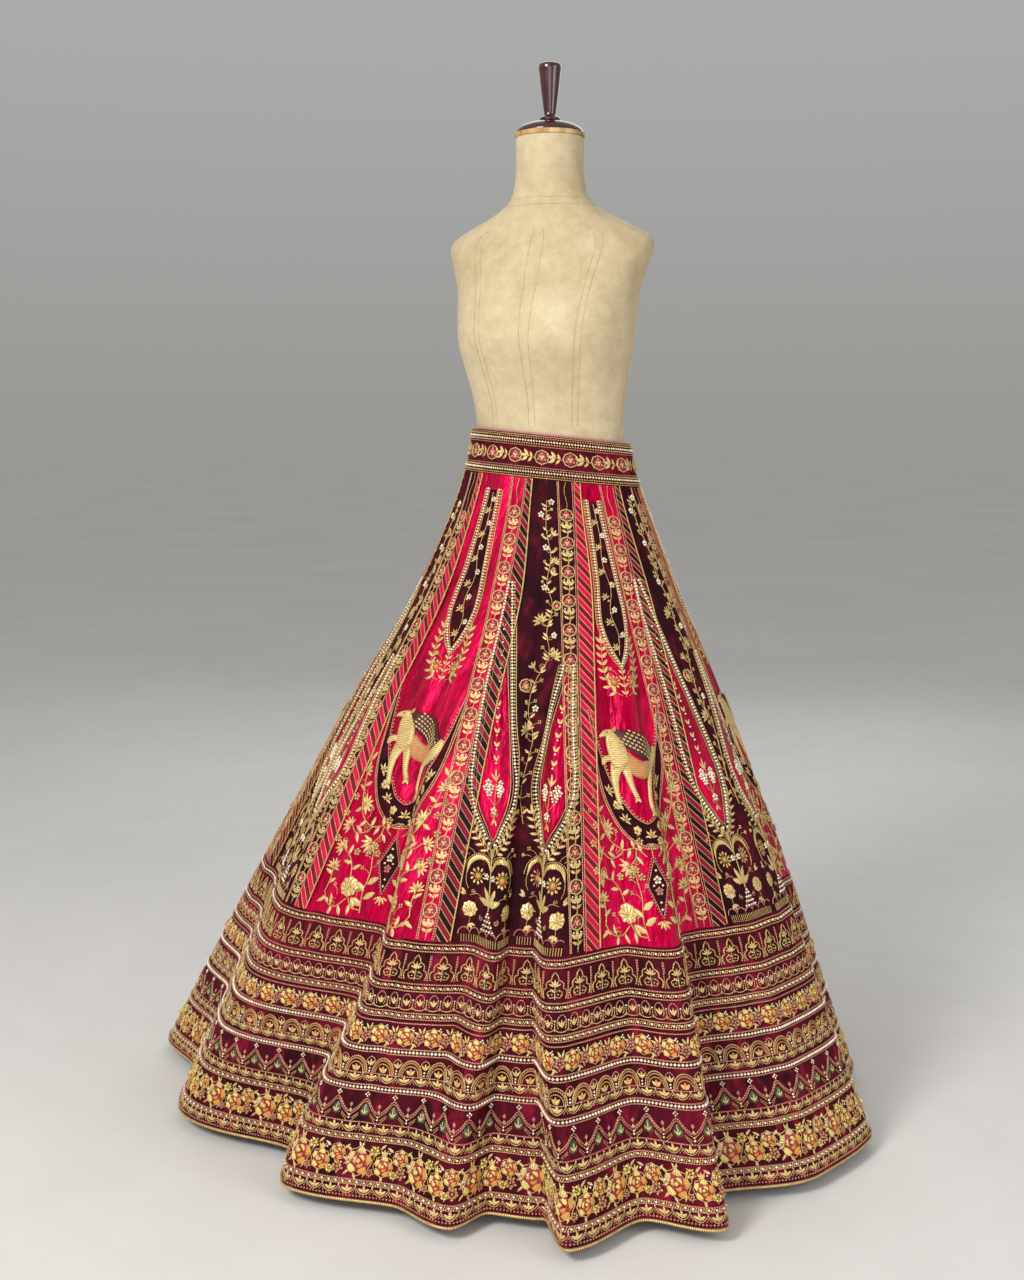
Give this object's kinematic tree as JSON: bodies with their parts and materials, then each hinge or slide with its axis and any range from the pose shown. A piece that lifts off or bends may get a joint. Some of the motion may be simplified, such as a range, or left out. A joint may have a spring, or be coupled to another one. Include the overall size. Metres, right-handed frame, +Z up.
{
  "type": "lehenga skirt on a dress form",
  "caption": "Flared bridal lehenga skirt of satin and velvet gores with a deep tiered velvet border, standing on a limbless dress form with a neck cap, finial, pole and round base.",
  "frame": {"origin": "centre of the round base's underside, which is the floor", "axes": "+Z up along the pole; -Y is the front the wearer's side faces, with the form turned 18 degrees towards -X"},
  "size_m": [1.1896, 1.2277, 1.7193],
  "materials": {
    "pink_satin": "glossy satin, hot pink to crimson",
    "dark_velvet": "velvet pile, near black to wine",
    "striped_band": "bias stripes of velvet and satin with beaded lines",
    "maroon_velvet": "velvet pile with gold and bead embroidery",
    "gold_cord": "twisted gold cord",
    "rose_piping": "satin piping, dusty rose",
    "cream_cloth": "plain woven cotton, matt",
    "mahogany": "dark polished wood",
    "worn_wood": "worn varnished wood",
    "stand_metal": "dark satin paint"
  },
  "bodies": {
    "root": {"kali_01_velvet": "dark_velvet", "kali_02_satin": "pink_satin", "kali_03_velvet": "dark_velvet", "kali_04_satin": "pink_satin", "kali_05_velvet": "dark_velvet", "kali_06_satin": "pink_satin", "kali_07_velvet": "dark_velvet", "kali_08_satin": "pink_satin", "kali_09_velvet": "dark_velvet", "kali_10_satin": "pink_satin", "kali_11_velvet": "dark_velvet", "kali_12_satin": "pink_satin", "striped_band_01": "striped_band", "striped_band_02": "striped_band", "striped_band_03": "striped_band", "striped_band_04": "striped_band", "striped_band_05": "striped_band", "striped_band_06": "striped_band", "striped_band_07": "striped_band", "striped_band_08": "striped_band", "striped_band_09": "striped_band", "striped_band_10": "striped_band", "striped_band_11": "striped_band", "striped_band_12": "striped_band", "hem_piping": "gold_cord", "waistband": "maroon_velvet", "waist_piping": "rose_piping", "form_torso": "cream_cloth", "neck_rim": "worn_wood", "neck_cap": "mahogany", "finial": "mahogany", "stand_base": "mahogany", "stand_collar": "stand_metal", "stand_pole": "stand_metal", "stand_plate": "stand_metal", "border_upper_1": "maroon_velvet", "border_upper_2": "maroon_velvet", "border_upper_3": "maroon_velvet", "border_upper_4": "maroon_velvet", "border_middle_1": "maroon_velvet", "border_middle_2": "maroon_velvet", "border_middle_3": "maroon_velvet", "border_middle_4": "maroon_velvet", "border_lower_1": "maroon_velvet", "border_lower_2": "maroon_velvet", "border_lower_3": "maroon_velvet", "border_lower_4": "maroon_velvet"}
  },
  "joints": []
}
